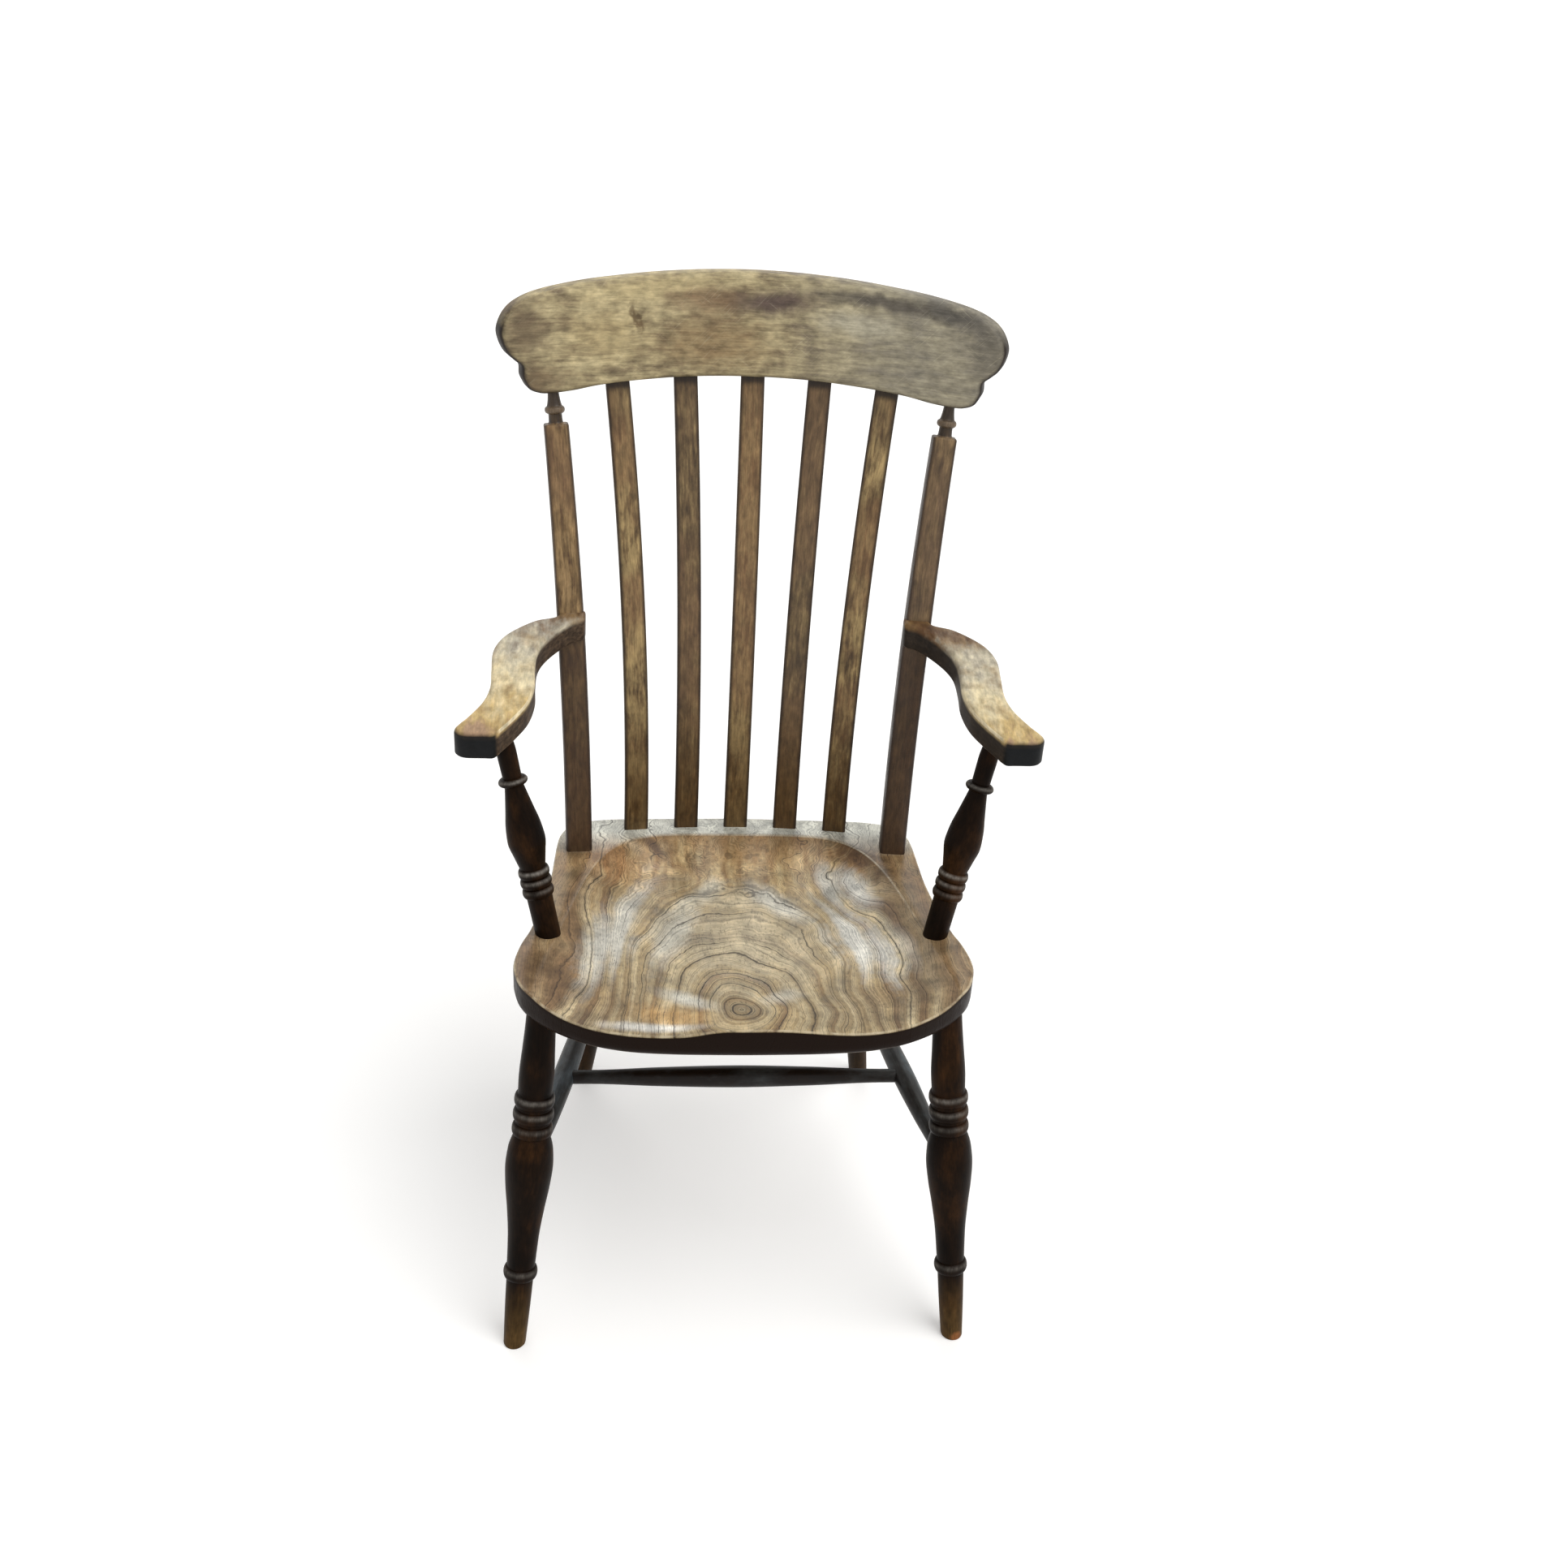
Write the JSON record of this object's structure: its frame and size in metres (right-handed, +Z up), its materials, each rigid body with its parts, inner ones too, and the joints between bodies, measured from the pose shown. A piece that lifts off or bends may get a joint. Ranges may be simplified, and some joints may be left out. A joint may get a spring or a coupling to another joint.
{
  "type": "windsor armchair",
  "caption": "Windsor armchair with a lath back under a shaped crest rail, serpentine arms on turned supports, a saddled plank seat and turned legs joined by stretchers.",
  "frame": {"origin": "on the floor under the middle of the overall width and depth", "axes": "+Z up, -Y the way the sitter faces, +X to the right as seen from the front"},
  "size_m": [0.648, 0.5712, 1.122],
  "materials": {
    "elm_seat": "worn elm under wax, bold growth lines",
    "crest_wood": "worn, nearly matt",
    "lath_wood": "satin, darker at the edges",
    "stile_wood": "satin, darker low down",
    "arm_wood": "rubbed pale on top, dark below",
    "dark_turning": "near-black stain, satin",
    "dark_rail": "near-black stain, satin",
    "iron": "dull iron"
  },
  "bodies": {
    "root": {"seat": "elm_seat", "crest_rail": "crest_wood", "lath_1": "lath_wood", "lath_2": "lath_wood", "lath_3": "lath_wood", "lath_4": "lath_wood", "lath_5": "lath_wood", "stile_left": "stile_wood", "arm_left": "arm_wood", "arm_support_left": "dark_turning", "front_leg_left": "dark_turning", "rear_leg_left": "dark_turning", "side_stretcher_left": "dark_rail", "arm_screw_left": "iron", "crest_peg_left": "stile_wood", "stile_right": "stile_wood", "arm_right": "arm_wood", "arm_support_right": "dark_turning", "front_leg_right": "dark_turning", "rear_leg_right": "dark_turning", "side_stretcher_right": "dark_rail", "arm_screw_right": "iron", "crest_peg_right": "stile_wood", "cross_stretcher": "dark_rail"}
  },
  "joints": []
}
